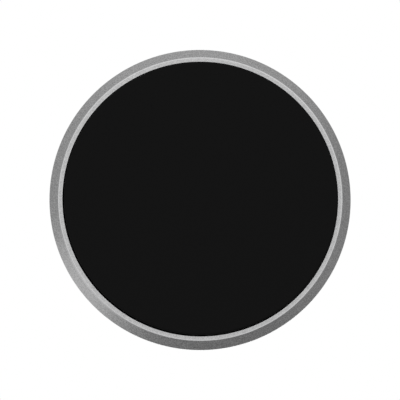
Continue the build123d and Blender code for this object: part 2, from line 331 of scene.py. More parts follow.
pad_outline = eased([
    (0, PAD_FOOT_Z), (PAD_R, PAD_FOOT_Z, 0.4), (PAD_R, PAD_TOP_Z, 0.4), (0, PAD_TOP_Z),
], ring=False, steps=8)
pad = turned("rubber_pad", pad_outline, ring=False, shape=slight_waves)

# %% [markdown]
# ## The cup liner
#
# The liner is moulded in black plastic. It has a flange with three screws, a seat for the adapter, a cone
# and a neck. Two finger scoops and the notch for the adapter's key break its round shape. They could be cut
# with Boolean modifiers, but those leave hard, uneven edges. Here the turned grid is bent instead: its
# heights dip where a scoop or a screw hole is, and its radius steps out at the notch. The grid only needs
# to be finer there.

# %% Where the detail is
SCREW_ANGLES = np.radians([90, 210, 330])
KEY_ANGLE = np.radians(270)
SCREW_CIRCLE_R = 26.2
SCREW_HOLE_R = 2.1
SINK_WALL, SINK_CONE = 0.2, 0.95         # depths of a screw hole's wall and cone
SINK_EASE = 0.12          # the wall's own width, so that the grid can follow it
SCOOP_CIRCLE_R = 24.95
SCOOP_R = 3.2
SCOOP_HALF_LENGTH = 4.0
SCOOP_RISE = 0.7          # of the ball's middle above the flange


def detailed_angles(count, spots):
    """Even angles with finer ones at each spot, given as (middle, half width, spacing) in degrees."""
    fine = [np.arange(middle - half, middle + half, gap) for middle, half, gap in spots]
    every = np.concatenate([np.arange(count) * 360 / count, *fine]) % 360
    return np.radians(np.unique(np.round(every * 10) / 10))


def finer(outline, first, last, gap):
    """The outline with more points between two of its rows, at even distances along its straight runs."""
    along = np.concatenate([[0], np.cumsum(np.linalg.norm(np.diff(outline[:, :2], axis=0), axis=1))])
    extra = np.arange(along[first], along[last], gap)
    every = np.union1d(along, extra)
    return np.column_stack([np.interp(every, along, column) for column in outline.T])


print("144 angles and one finer spot make", len(detailed_angles(144, [(0, 17.5, 0.8)])))

# %% [markdown]
# Each detail is a plain function of place: how low a trough or a screw hole lies at a point of the flange,
# or how far a wall stands out at an angle. Where a trough meets the flat, the lesser of two heights would
# leave a knife edge, so the two are blended over a fifth of a millimetre.

# %% Scoops, screw holes and notch as functions of place
def smooth(share):
    """From 0 to 1 with level ends: three times the share squared, less twice its cube."""
    share = np.clip(share, 0, 1)
    return share * share * (3 - 2 * share)


def soft_least(first, second, ease):
    """The lesser of two heights, with the crossing rounded over a band of the given size."""
    share = np.clip(0.5 + 0.5 * (second - first) / ease, 0, 1)
    return second * (1 - share) + first * share - ease * share * (1 - share)


def scoop_height(x, y):
    """Height of the two troughs: a ball drawn along a short line, its middle a little above the flange.
    The ball's lower half is at the middle's height less the root of (radius squared - distance squared).
    Away from the ball the height is well above the flange, so that it changes nothing there."""
    away = np.hypot(np.abs(x) - SCOOP_CIRCLE_R, np.maximum(np.abs(y) - SCOOP_HALF_LENGTH, 0))
    ball = LINER_TOP_Z + SCOOP_RISE - np.sqrt(np.maximum(SCOOP_R**2 - away**2, 0))
    return np.where(away < SCOOP_R, ball, LINER_TOP_Z + 5)


def countersink_depth(x, y):
    """Depth of the screw holes: a short wall at the hole's radius, then a cone at 45 degrees."""
    away = np.min([
        np.hypot(x - SCREW_CIRCLE_R * np.cos(a), y - SCREW_CIRCLE_R * np.sin(a)) for a in SCREW_ANGLES
    ], axis=0)
    deep = SINK_WALL + np.clip(SCREW_HOLE_R - away, 0, SINK_CONE)
    return deep * smooth((SCREW_HOLE_R + SINK_EASE / 2 - away) / SINK_EASE)


def notch(r, a, width, depth, ease):
    """How far the wall steps out at the key: depth inside the width, easing to nothing beyond it."""
    other_side = np.cos(a - KEY_ANGLE) < 0
    across = np.where(other_side, np.inf, np.abs(r * np.sin(a - KEY_ANGLE)))
    return depth * smooth((width / 2 + ease - across) / ease)


print("a scoop is", round(LINER_TOP_Z - float(scoop_height(SCOOP_CIRCLE_R, 0)), 2), "mm deep, a screw hole",
      round(float(countersink_depth(0, SCREW_CIRCLE_R)), 2))

# %% [markdown]
# The liner's outline closes on itself like the housing's. Its upper face gets many more rows, so that the
# bent heights come out smooth, and the columns crowd round the screws, the scoops and the notch.

# %% The moulded liner
NOTCH_WIDTH, NOTCH_DEPTH, NOTCH_EASE = 3.6, 1.4, 0.25
FADE_OUT = 3.5            # mm of flange over which the notch's step is taken back
SCOOP_EASE = 0.2
ROW_GAP = 0.12


def cut_liner(r, z, a):
    """Steps the seat's wall out at the notch, then lowers the flange's top at scoops and screw holes."""
    top_side = (z > SEAT_Z - 0.5) & (r < FLANGE_R - 0.15) & (r > CONE_TOP_R)
    reach = np.where(r < SEAT_R, (r - CONE_TOP_R) / (SEAT_R - CONE_TOP_R), 1 - (r - SEAT_R) / FADE_OUT)
    r = r + notch(r, a, NOTCH_WIDTH, NOTCH_DEPTH, NOTCH_EASE) * np.clip(reach, 0, 1) * top_side
    x, y = r * np.cos(a), r * np.sin(a)
    lowered = soft_least(z, scoop_height(x, y), SCOOP_EASE)
    lowered = lowered - countersink_depth(x, y) * (z > LINER_TOP_Z - 0.01)
    return r, np.where(top_side, lowered, z)


POLE_TIP_R = 4.5
RELIEF_R = 6.8            # room for the iron cone under the pierced floor
FLOOR_WALL = 1.2
RING_GROOVE = 1.0         # depth of the grooves that hold the rubber rings
SEAL_GROOVE_Z, SEAL_GROOVE_WIDTH = LINER_FOOT_Z + 2.0, 1.4

liner_outline = eased([
    (FLANGE_R, FLANGE_Z),
    (FLANGE_R, LINER_TOP_Z, 0.3),
    (SEAT_R, LINER_TOP_Z, 0.25),
    (SEAT_R, SEAT_Z, 0.2),
    (CONE_TOP_R, SEAT_Z, 0.4),
    (CONE_FOOT_R, CONE_FOOT_Z, 0.8),
    (CONE_FOOT_R, FLOOR_Z, 0.3),
    (POLE_TIP_R + PLAY, FLOOR_Z, 0.06),
    (POLE_TIP_R + PLAY, LINER_FOOT_Z + FLOOR_WALL),
    (RELIEF_R, LINER_FOOT_Z + FLOOR_WALL),
    (RELIEF_R, LINER_FOOT_Z),
    (NECK_R, LINER_FOOT_Z, 0.3),
    (NECK_R, SEAL_GROOVE_Z),
    (NECK_R - RING_GROOVE, SEAL_GROOVE_Z),
    (NECK_R - RING_GROOVE, SEAL_GROOVE_Z + SEAL_GROOVE_WIDTH),
    (NECK_R, SEAL_GROOVE_Z + SEAL_GROOVE_WIDTH),
    (NECK_R, cone_z(NECK_R, -LINER_WALL)),
    (cone_r(FLANGE_Z, -LINER_WALL), FLANGE_Z),
], steps=5)
flat = np.flatnonzero((liner_outline[:, 1] > SEAT_Z - 0.01) & (liner_outline[:, 0] < FLANGE_R - 0.2))
liner_outline = finer(liner_outline, flat[0], flat[-1], ROW_GAP)
liner_angles = detailed_angles(144, [
    *[(np.degrees(a), 5.4, 0.3) for a in SCREW_ANGLES],
    (0, 17.5, 0.8), (180, 17.5, 0.8), (np.degrees(KEY_ANGLE), 5.6, 0.3),
])
liner = turned("moulded_liner", liner_outline, liner_angles, shape=cut_liner)

# %% [markdown]
# ## The lift-out adapter
#
# The adapter is a second moulding, in dark grey. Its dish leads the nose of a small tag into the bore, and
# a rubber ring on its own nose grips the neck of the cup. A small key on its flange fits the notch in the
# liner. The key is again the same outline, stepped out over a few degrees.

# %% The moulded adapter
ADAPTER_FOOT_Z, ADAPTER_TOP_Z, ADAPTER_R = levels("adapter_insert")
ADAPTER_PLAY = 0.25
NOSE_R = CONE_FOOT_R - ADAPTER_PLAY
PLATE_Z = SEAT_Z + ADAPTER_PLAY
DISH_R = 17.0
TAG_BORE_R, TAG_BORE_TOP_Z = 7.0, 34.5
GRIP_GROOVE_Z, GRIP_GROOVE_WIDTH = ADAPTER_FOOT_Z + 1.2, 1.3
KEY_WIDTH, KEY_REACH, KEY_EASE = 2.8, 1.35, 0.12


def add_key(r, z, a):
    """Steps the flange's outer wall out at the key, under the flange's upper edge. It fades inwards."""
    low = (z < ADAPTER_TOP_Z - 0.3) & (z > PLATE_Z - 0.01)
    reach = np.clip((r - CONE_TOP_R) / (ADAPTER_R - 0.5 - CONE_TOP_R), 0, 1)
    return r + notch(r, a, KEY_WIDTH, KEY_REACH, KEY_EASE) * reach * low, z


adapter_outline = eased([
    (ADAPTER_R, PLATE_Z, 0.5),
    (ADAPTER_R, ADAPTER_TOP_Z, 0.3),
    (DISH_R, ADAPTER_TOP_Z, 0.8),
    (TAG_BORE_R, TAG_BORE_TOP_Z, 0.8),
    (TAG_BORE_R, ADAPTER_FOOT_Z, 0.2),
    (NOSE_R, ADAPTER_FOOT_Z, 0.6),
    (NOSE_R, GRIP_GROOVE_Z),
    (NOSE_R - RING_GROOVE, GRIP_GROOVE_Z),
    (NOSE_R - RING_GROOVE, GRIP_GROOVE_Z + GRIP_GROOVE_WIDTH),
    (NOSE_R, GRIP_GROOVE_Z + GRIP_GROOVE_WIDTH),
    (NOSE_R, cone_z(NOSE_R, ADAPTER_PLAY), 0.6),
    (cone_r(PLATE_Z, ADAPTER_PLAY), PLATE_Z, 0.2),
], steps=7)
adapter_angles = detailed_angles(240, [(np.degrees(KEY_ANGLE), 5.0, 0.2)])
adapter = turned("moulded_adapter", adapter_outline, adapter_angles, shape=add_key)

# %% [markdown]
# ## The pole tip
#
# At the bottom of the cup the tip of the iron cone shows, flush with the floor. Every turned end face has a
# small centre mark where the tool ran out, so the outline starts with one.

# %% The turned iron cone
SHOULDER_Z = levels("ring_magnet_1")[1]
TAPER_HEIGHT = 2.0
CENTRE_MARK_R, CENTRE_MARK_DEPTH = 0.35, 0.18
cap_outline = eased([
    (0, CAP_FOOT_Z),
    (CORE_R, CAP_FOOT_Z, 0.3),
    (CORE_R, SHOULDER_Z, 0.3),
    (POLE_TIP_R, SHOULDER_Z + TAPER_HEIGHT, 0.5),
    (POLE_TIP_R, FLOOR_Z, 0.25),
    (CENTRE_MARK_R, FLOOR_Z, 0.1),
    (0, FLOOR_Z - CENTRE_MARK_DEPTH),
], ring=False)
cap = turned("turned_pole_cap", cap_outline, even_angles(144), ring=False)

# %% [markdown]
# ## Rubber rings
#
# An O-ring is moulded in two halves, and where they met, a faint line of flash is left round it. A plain
# torus lacks that line, so the ring's own section is a circle with two small ridges.

# %% A ring with its parting line
FLASH, FLASH_SPREAD = 0.02, 0.12         # mm that the parting line stands out, and its width as a sine


def rubber_ring(name, node):
    """A circle carried round a circle. The section's radius is that of the cord, plus FLASH times e to the
    power of minus the square of (sine of the angle from the parting line / FLASH_SPREAD)."""
    low, high, outer = levels(node)
    cord = (high - low) / 2 - FLASH
    section = even_angles(32)[:, None]
    a = even_angles(160)[None, :]
    size = cord + FLASH * np.exp(-(np.sin(section) / FLASH_SPREAD) ** 2)
    r = outer - cord - FLASH + size * np.cos(section) + 0 * a
    z = (low + high) / 2 + size * np.sin(section) + 0 * a
    return surface(name, r * np.cos(a), r * np.sin(a), z, 0 * z)


grip_ring = rubber_ring("grip_ring_rubber", "adapter_grip_ring")
seal_ring = rubber_ring("seal_ring_rubber", "liner_seal_ring")

# %% [markdown]
# ## Screws
#
# Both kinds of screw are countersunk with a hexagon socket. The hexagon could be cut out with a Boolean,
# but a grid can follow it: near the socket each row has six sides, further out each row is round, and the
# rows between blend the two.

# %% A countersunk socket screw, several times
def screws(name, angles, circle_r, head_z, head_r, shank_r, length, socket, up):
    """Each row is size x (1 - roundness) x hexagon + size x roundness, where the hexagon's radius at angle a
    is 1 / cos of the angle from the middle of its side. The rows go from the socket's floor over the head
    and down the shank."""
    flat_r = socket / 2
    deep = 0.6 * head_r
    foot = -0.15 - (head_r - shank_r)
    rows = np.array([
        # the socket's floor with the dent of the drill, then its six walls and their eased edge
        (0.0, 0, -deep - 0.25), (0.3 * flat_r, 0, -deep - 0.08), (0.97 * flat_r, 0, -deep),
        (flat_r, 0, 0.06 - deep), (flat_r, 0, -0.12), (flat_r, 0, -0.06), (1.05 * flat_r, 0, -0.015),
        # the flat of the head, from six sides to round, and its eased rim
        (1.12 * flat_r, 0.05, 0.0), (1.2 * flat_r, 0.2, 0.0), (0.75 * head_r, 1, 0.0),
        (head_r - 0.14, 1, 0.0), (head_r - 0.05, 1, -0.01), (head_r - 0.01, 1, -0.05),
        (head_r, 1, -0.14), (head_r - 0.03, 1, -0.18),
        # the cone under the head, the shank and its bevelled end
        (shank_r + 0.05, 1, foot + 0.05), (shank_r, 1, foot - 0.05), (shank_r, 1, 0.4 - length),
        (shank_r - 0.4, 1, -length), (0.0, 1, -length),
    ])
    size, roundness, height = rows.T[:, :, None]
    a = even_angles(72)[None, :]
    hexagon = 1 / np.cos((a + np.pi / 6) % (np.pi / 3) - np.pi / 6)
    r = size * (1 - roundness) * hexagon + size * roundness
    x, y, z = r * np.cos(a), r * np.sin(a) * up, height * up + 0 * a
    wear = np.where(np.abs(height) < 0.03, 0.6, 0.0) + 0 * a
    made = [
        surface(name, x + circle_r * np.cos(t), y + circle_r * np.sin(t), z + head_z, wear, ring=False)
        for t in angles
    ]
    with bpy.context.temp_override(active_object=made[0], selected_editable_objects=made):
        bpy.ops.object.join()
    return made[0]


BASE_SCREW_CIRCLE_R = 28.1
BASE_SCREW_ANGLES = np.radians([45, 135, 225, 315])
liner_screws = screws("liner_socket_screws", SCREW_ANGLES, SCREW_CIRCLE_R, levels("liner_screws")[1],
                      head_r=1.9, shank_r=0.95, length=6.0, socket=1.3, up=1)
base_screws = screws("base_socket_screws", BASE_SCREW_ANGLES, BASE_SCREW_CIRCLE_R, levels("base_screws")[0],
                     head_r=2.75, shank_r=1.45, length=8.0, socket=2.0, up=-1)

# %% [markdown]
# ## Effects that the finishes share
#
# Each effect is a small node group with its own inputs: fine grain, marks of the turning tool, and what
# wear does along an edge, which on the pad also lays a painted highlight. A group puts out only values that
# change over the surface. The shader itself, and every number that is the same all over, stay in the
# material.

# %% Small helpers for node trees
def node(tree, kind, inputs=None, **settings):
    """Adds a node. Inputs are given by name or number, each a plain value or another node's output."""
    made = tree.nodes.new("ShaderNode" + kind)
    for name, value in settings.items():
        setattr(made, name, value)
    for key, value in (inputs or {}).items():
        if isinstance(value, bpy.types.NodeSocket):
            tree.links.new(value, made.inputs[key])
        else:
            made.inputs[key].default_value = value
    return made


def group(name, inputs, outputs):
    """Starts a shader node group with named sockets, and gives its tree, its inputs and its end node."""
    tree = bpy.data.node_groups.new(name, "ShaderNodeTree")
    for label, value in inputs.items():
        vector = isinstance(value, tuple)
        kind = "NodeSocketVector" if vector else "NodeSocketFloat"
        tree.interface.new_socket(label, in_out="INPUT", socket_type=kind).default_value = value
    for label in outputs:
        tree.interface.new_socket(label, in_out="OUTPUT", socket_type="NodeSocketFloat")
    return tree, tree.nodes.new("NodeGroupInput").outputs, tree.nodes.new("NodeGroupOutput")


print("node groups before the first effect:", len(bpy.data.node_groups))

# %% [markdown]
# The first effect is on every surface here: fine grain, from blasting or from a mould, with rare small pits.
# A noise texture gives the grain. For the pits a few cells of a Voronoi pattern are picked out by their
# random colour, which scatters them without a rule that the eye could find.

# %% Fine grain
CELLS_PER_GRAIN = 0.22    # so that cells are about four grains and a half wide
PIT_RIM, PIT_MIDDLE = 0.16, 0.05         # distances from a cell's point, in cells

grain, given, end = group("Fine grain", {"Place": (0.0, 0.0, 0.0), "Size in mm": 0.2, "Pits": 0.0},
                          ["Grain", "Pit"])
density = node(grain, "Math", {0: 1000.0, 1: given["Size in mm"]}, operation="DIVIDE").outputs[0]
speckle = node(grain, "TexNoise", {"Vector": given["Place"], "Scale": density, "Detail": 3.0,
                                   "Roughness": 0.65}).outputs["Fac"]
rare = node(grain, "Math", {0: density, 1: CELLS_PER_GRAIN}, operation="MULTIPLY").outputs[0]
cells = node(grain, "TexVoronoi", {"Vector": given["Place"], "Scale": rare}, feature="F1")
chosen = node(grain, "SeparateColor", {0: cells.outputs["Color"]}).outputs[0]
picked = node(grain, "Math", {0: chosen, 1: given["Pits"]}, operation="LESS_THAN").outputs[0]
spot = node(grain, "MapRange", {"Value": cells.outputs["Distance"], "From Min": PIT_RIM,
                                "From Max": PIT_MIDDLE}, interpolation_type="SMOOTHSTEP").outputs[0]
pit = node(grain, "Math", {0: spot, 1: picked}, operation="MULTIPLY").outputs[0]
grain.links.new(speckle, end.inputs["Grain"])
grain.links.new(pit, end.inputs["Pit"])
print(grain.name, "puts out", [socket.name for socket in end.inputs if socket.name])

# %% [markdown]
# A lathe leaves lines that run round the axis. A plain ring pattern would be too regular, so this is noise
# that changes fast with the distance travelled by the tool, and only slowly on the way round.

# %% Marks of the turning tool
marks, given, end = group("Turning marks", {"Place": (0.0, 0.0, 0.0), "Spacing in mm": 0.15}, ["Marks"])
flat_place = node(marks, "VectorMath", {0: given["Place"], 1: (1, 1, 0)}, operation="MULTIPLY").outputs[0]
from_axis = node(marks, "VectorMath", {0: flat_place}, operation="LENGTH").outputs["Value"]
height = node(marks, "SeparateXYZ", {0: given["Place"]}).outputs["Z"]
travel = node(marks, "Math", {0: from_axis, 1: height}, operation="ADD").outputs[0]
passes = node(marks, "Math", {0: 1000.0, 1: given["Spacing in mm"]}, operation="DIVIDE").outputs[0]
turns = node(marks, "Math", {0: travel, 1: passes}, operation="MULTIPLY").outputs[0]
around = node(marks, "VectorMath", {0: flat_place}, operation="NORMALIZE").outputs[0]
lines = node(marks, "TexNoise", {"Vector": around, "W": turns, "Scale": 1.0, "Detail": 2.0},
             noise_dimensions="4D").outputs["Fac"]
marks.links.new(lines, end.inputs["Marks"])
print(marks.name, "puts out", [socket.name for socket in end.inputs if socket.name])

# %% [markdown]
# Wear follows the attribute that every outline carries. It is never even along an edge, so slow noise moves
# the line at which it starts. On the pad, the same edge mask lays a painted highlight as well as rubbing.

# %% Wear and the pad's painted highlight along edges, dust in corners
PATCHES_PER_METRE = 350.0
WEAR_FROM, WEAR_TO = 0.35, 1.1           # wear at which a mask begins, and at which it is full

edges, given, end = group("Wear, highlight and dust", {"Place": (0.0, 0.0, 0.0), "Wear": 0.0, "Patchiness": 0.5},
                          ["Rubbed and highlight", "Dusty"])
patches = node(edges, "TexNoise", {"Vector": given["Place"], "Scale": PATCHES_PER_METRE,
                                   "Detail": 4.0}).outputs["Fac"]
swing = node(edges, "Math", {0: patches, 1: 0.5}, operation="SUBTRACT").outputs[0]
swing = node(edges, "Math", {0: swing, 1: given["Patchiness"]}, operation="MULTIPLY").outputs[0]
for label, sign in (("Rubbed and highlight", 1.0), ("Dusty", -1.0)):
    signed = node(edges, "Math", {0: given["Wear"], 1: sign, 2: swing}, operation="MULTIPLY_ADD").outputs[0]
    mask = node(edges, "MapRange", {"Value": signed, "From Min": WEAR_FROM, "From Max": WEAR_TO},
                interpolation_type="SMOOTHSTEP").outputs[0]
    edges.links.new(mask, end.inputs[label])
print("groups:", [tree.name for tree in bpy.data.node_groups])

# %% [markdown]
# ## Finishes
#
# Each finish starts from the same small recipe: two tones of one colour, a roughness that varies a little
# and a very low relief, all driven by the fine grain. On top come what the piece has been through: pits,
# marks of the turning tool, rubbing on edges and dust in corners; on the pad the lighter edge is a painted
# highlight as well as rubbing. What differs from one finish to the next is which of these it has, and how
# much.

# %% What pits, wear and the pad's painted highlight do to a colour and a roughness
PIT_TONE, PIT_SHARE = 0.3, 0.7           # a pit's tone beside the darker tone, and how much of it shows
PIT_DEPTH = 1.5                          # times the relief
# The edge colour's share: rubbing wear, and on the pad a painted highlight too.
RUBBED_AND_HIGHLIGHT_SHARE, RUBBED_SMOOTHER = 0.6, 0.12
DUSTY_SHARE, DUSTY_ROUGHER = 0.5, 0.2


def blend_colour(tree, base, towards, share, most):
    """Moves a colour towards a fixed one by a mask, at most by the given share."""
    scaled = node(tree, "Math", {0: share, 1: most}, operation="MULTIPLY").outputs[0]
    mixed = node(tree, "Mix", {"Factor": scaled}, data_type="RGBA")
    tree.links.new(base, mixed.inputs[6])
    mixed.inputs[7].default_value = (*towards, 1)
    return mixed.outputs[2]


def plus(tree, base, value, times):
    """The base plus a value times a number."""
    return node(tree, "Math", {0: value, 1: times, 2: base}, operation="MULTIPLY_ADD").outputs[0]


def wear_highlight_and_dust(tree, place, colour, rough, rubbed_and_highlight, dusty):
    """Brings in the colour of outer edges, which are smoother, and of dusty corners, which are rougher. The
    edge colour is rubbing wear, and on the pad a painted highlight too.
    """
    touched = node(tree, "Group", node_tree=edges)
    tree.links.new(place, touched.inputs["Place"])
    tree.links.new(node(tree, "Attribute", attribute_name="wear").outputs["Fac"], touched.inputs["Wear"])
    # Outer edges: rubbing wear, and on the pad a painted highlight too.
    if rubbed_and_highlight:
        colour = blend_colour(tree, colour, rubbed_and_highlight, touched.outputs["Rubbed and highlight"], RUBBED_AND_HIGHLIGHT_SHARE)
        rough = plus(tree, rough, touched.outputs["Rubbed and highlight"], -RUBBED_SMOOTHER)
    if dusty:
        colour = blend_colour(tree, colour, dusty, touched.outputs["Dusty"], DUSTY_SHARE)
        rough = plus(tree, rough, touched.outputs["Dusty"], DUSTY_ROUGHER)
    return colour, rough


print("a fully dusty corner is rougher by", DUSTY_ROUGHER, "and a rubbed edge smoother by", RUBBED_SMOOTHER)

# %% [markdown]
# The recipe puts these together. Its tones lie at the two ends of the grain, and the middle of the grain's
# range is stretched over them, because noise seldom comes near its own limits.

# %% The recipe for a finish
GRAIN_FROM, GRAIN_TO = 0.3, 0.7


def finish(name, tones, roughness, relief_mm, grain_mm, pits=0.0, tool_marks=0.0, spacing_mm=0.15,
           rubbed_and_highlight=None, dusty=None, **fixed):
    """A Principled material. The fine grain moves its colour between two tones, and its roughness between
    two values. The edge and corner colours are those of rubbing on outer edges and dust in inner corners,
    where it has them; on the pad the edge colour is a painted highlight as well. fixed are sockets of the
    shader that are the same all over."""
    material = bpy.data.materials.new(name)
    material.use_nodes = True
    tree = material.node_tree
    shader = tree.nodes["Principled BSDF"]
    for socket, value in fixed.items():
        shader.inputs[socket.replace("_", " ")].default_value = value
    place = node(tree, "TexCoord").outputs["Object"]
    fine = node(tree, "Group", node_tree=grain)
    tree.links.new(place, fine.inputs["Place"])
    fine.inputs["Size in mm"].default_value = grain_mm
    fine.inputs["Pits"].default_value = pits
    span = {"Value": fine.outputs["Grain"], "From Min": GRAIN_FROM, "From Max": GRAIN_TO}
    colour = node(tree, "Mix", {"Factor": node(tree, "MapRange", span).outputs[0]}, data_type="RGBA")
    colour.inputs[6].default_value, colour.inputs[7].default_value = [(*tone, 1) for tone in tones]
    colour = colour.outputs[2]
    rough = node(tree, "MapRange", {**span, "To Min": roughness[0], "To Max": roughness[1]}).outputs[0]
    height = fine.outputs["Grain"]
    if tool_marks:
        lathe = node(tree, "Group", node_tree=marks)
        tree.links.new(place, lathe.inputs["Place"])
        lathe.inputs["Spacing in mm"].default_value = spacing_mm
        height = plus(tree, height, lathe.outputs["Marks"], tool_marks)
    if pits:
        dark = [PIT_TONE * part for part in tones[0]]
        colour = blend_colour(tree, colour, dark, fine.outputs["Pit"], PIT_SHARE)
        height = plus(tree, height, fine.outputs["Pit"], -PIT_DEPTH)
    if rubbed_and_highlight or dusty:
        colour, rough = wear_highlight_and_dust(tree, place, colour, rough, rubbed_and_highlight, dusty)
    tree.links.new(colour, shader.inputs["Base Color"])
    tree.links.new(rough, shader.inputs["Roughness"])
    bump = node(tree, "Bump", {"Height": height, "Distance": relief_mm * MM})
    tree.links.new(bump.outputs["Normal"], shader.inputs["Normal"])
    return material


print("materials before the first finish:", len(bpy.data.materials))

# %% [markdown]
# The metals first. Blasting leaves aluminium pale and satin, with a fine sparkle and a few pits. Nickel,
# brass and steel keep the marks of the tool that turned them, or of the grinding wheel.

# %% Metals
blasted = finish("blasted_aluminium", [(0.48, 0.48, 0.485), (1.0, 1.0, 1.0)], (0.36, 0.54), 0.013, 0.28,
                 pits=0.05, tool_marks=0.6, spacing_mm=0.3, rubbed_and_highlight=(0.90, 0.90, 0.91),
                 dusty=(0.3, 0.29, 0.28), Metallic=1.0)
nickel = finish("turned_nickel", [(0.60, 0.57, 0.53), (0.70, 0.67, 0.62)], (0.22, 0.32), 0.012, 0.3,
                tool_marks=4.0, spacing_mm=0.45, rubbed_and_highlight=(0.8, 0.78, 0.74), Metallic=1.0)
plated = finish("nickel_plate", [(0.62, 0.59, 0.55), (0.68, 0.65, 0.61)], (0.18, 0.3), 0.004, 0.8,
                Metallic=1.0)
brass = finish("turned_brass", [(0.62, 0.44, 0.17), (0.74, 0.55, 0.24)], (0.24, 0.36), 0.006, 0.4,
               tool_marks=2.0, spacing_mm=0.3, Metallic=1.0)
ground = finish("ground_steel", [(0.42, 0.42, 0.43), (0.55, 0.55, 0.56)], (0.3, 0.42), 0.006, 0.25,
                tool_marks=1.5, spacing_mm=0.1, Metallic=1.0)
# The plate is black as painted shade: it lies at the bottom of the gap round the pad, which it makes read
# dark.
painted_shade_plate = finish("plate_black_painted_shade", [(0.012, 0.012, 0.013), (0.024, 0.024, 0.025)], (0.4, 0.6), 0.01, 1.6)
stainless = finish("stainless_steel", [(0.50, 0.49, 0.48), (0.60, 0.59, 0.57)], (0.24, 0.36), 0.004, 0.15,
                   rubbed_and_highlight=(0.7, 0.69, 0.67), Metallic=1.0)
print("metals:", blasted.name, nickel.name, plated.name, brass.name, ground.name, painted_shade_plate.name, stainless.name)

# %% [markdown]
# Then the rubbers and plastics. The pad's rubber hardly reflects at all: its skin is so matt that light
# gets lost in it, so its specular level is low. The two mouldings have the fine spark-eroded grain of their
# mould, and the grey one is rubbed along its upper edges by the tags that slide over them.

# %% Rubbers and plastics
# The pad's edge colour is lighter than its face: partly rubbing, partly a painted highlight on the rounded
# edge.
pad_rubber = finish("matt_rubber", [(0.0026, 0.0026, 0.0027), (0.0054, 0.0054, 0.0055)], (0.6, 0.75), 0.02,
                    0.5, pits=0.02, rubbed_and_highlight=(0.014, 0.014, 0.0142), Specular_IOR_Level=0.17)
ring_rubber = finish("moulded_rubber", [(0.010, 0.010, 0.011), (0.016, 0.016, 0.017)], (0.5, 0.62), 0.006,
                     0.2, Specular_IOR_Level=0.4)
black_plastic = finish("black_moulding", [(0.012, 0.012, 0.013), (0.020, 0.020, 0.021)], (0.42, 0.56), 0.012,
                       0.16, rubbed_and_highlight=(0.05, 0.05, 0.052), dusty=(0.09, 0.085, 0.08))
grey_plastic = finish("grey_moulding", [(0.070, 0.073, 0.078), (0.095, 0.099, 0.105)], (0.40, 0.54), 0.012,
                      0.16, rubbed_and_highlight=(0.17, 0.175, 0.18), dusty=(0.2, 0.19, 0.18))
plain_plastic = finish("uncoloured_moulding", [(0.70, 0.69, 0.64), (0.78, 0.77, 0.73)], (0.4, 0.55), 0.01,
                       0.4, Subsurface_Weight=0.1)
# The tape is black as painted shade too, where its edge lies at the bottom of the gap round the pad.
painted_shade_tape = finish("tape_black_painted_shade", [(0.010, 0.010, 0.011), (0.018, 0.018, 0.019)], (0.5, 0.7), 0.01, 0.8)
print("soft finishes:", pad_rubber.name, ring_rubber.name, black_plastic.name, grey_plastic.name)

# %% [markdown]
# Now every new piece is told what it is. It rides on a body, so that it moves with the mechanism. It stands
# for a CAD piece, which is then hidden. The slot that names what it is made of is listed beside it but not
# given here. The adapter and its rubber ring lift out together, so both ride on the adapter's body.

# %% Give every new piece its body, its CAD node and its finish, with its slot listed beside them
for piece, body, covers, slot_name, look in (
    (housing, "detacher", "housing", "housing_aluminium", blasted),
    (pad, "detacher", "anti_slip_pad", "pad_rubber", pad_rubber),
    (liner, "detacher", "cup_liner", "liner_plastic", black_plastic),
    (cap, "detacher", "pole_cap", "pole_iron", nickel),
    (seal_ring, "detacher", "liner_seal_ring", "seal_rubber", ring_rubber),
    (liner_screws, "detacher", "liner_screws", "screw_steel", stainless),
    (base_screws, "detacher", "base_screws", "screw_steel", stainless),
    (adapter, "adapter", "adapter_insert", "adapter_plastic", grey_plastic),
    (grip_ring, "adapter", "adapter_grip_ring", "seal_rubber", ring_rubber),
):
    piece.data.materials.append(look)
    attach(piece, body)
    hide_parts(covers)
    print(f"{piece.name} stands for {covers} and rides on {body}")

# %% [markdown]
# The pieces inside keep their CAD surfaces. Nobody sees most of them while the puck is whole, but a section
# or an exploded view would show them, so each has its own finish too. The base plate and the tape's edge do
# show, at the bottom of the gap round the pad, and their black is painted shade there.

# %% Finishes for the pieces inside
inside = {
    # The plate's and the tape's black is painted shade for the gap round the pad.
    "adhesive_disc": painted_shade_tape, "base_plate": painted_shade_plate, "cushion_disc": ring_rubber, "back_iron": ground,
    "base_magnet": plated, "core_magnet": plated, "core_sleeve": brass, "magnet_band": stainless,
    "centring_ring": plain_plastic, "top_gasket": ring_rubber,
    **{f"ring_magnet_{count}": plated for count in range(1, 9)},
}
for name, look in inside.items():
    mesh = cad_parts[name].data
    mesh.materials.clear()
    mesh.materials.append(look)
print(len(inside), "CAD pieces finished")

# %% [markdown]
# ## A light tent
#
# Small metal objects are lit inside a tent of white cloth, because metal shows whatever surrounds it. A few
# lamps in a dark room would leave it black with hard spots. Here the surroundings themselves are the tent:
# a soft glow from below and above, a dimmer belt at the horizon, and broad panels in that belt which give
# the round chamfer its slow change of tone. The camera sees plain white behind the object.

# %% The tent as the world's light
def degrees_to_direction(azimuth, height):
    """A direction from its azimuth, anticlockwise from +X seen from above, and its height above level."""
    a, e = np.radians([azimuth, height])
    return (np.cos(a) * np.cos(e), np.sin(a) * np.cos(e), np.sin(e))


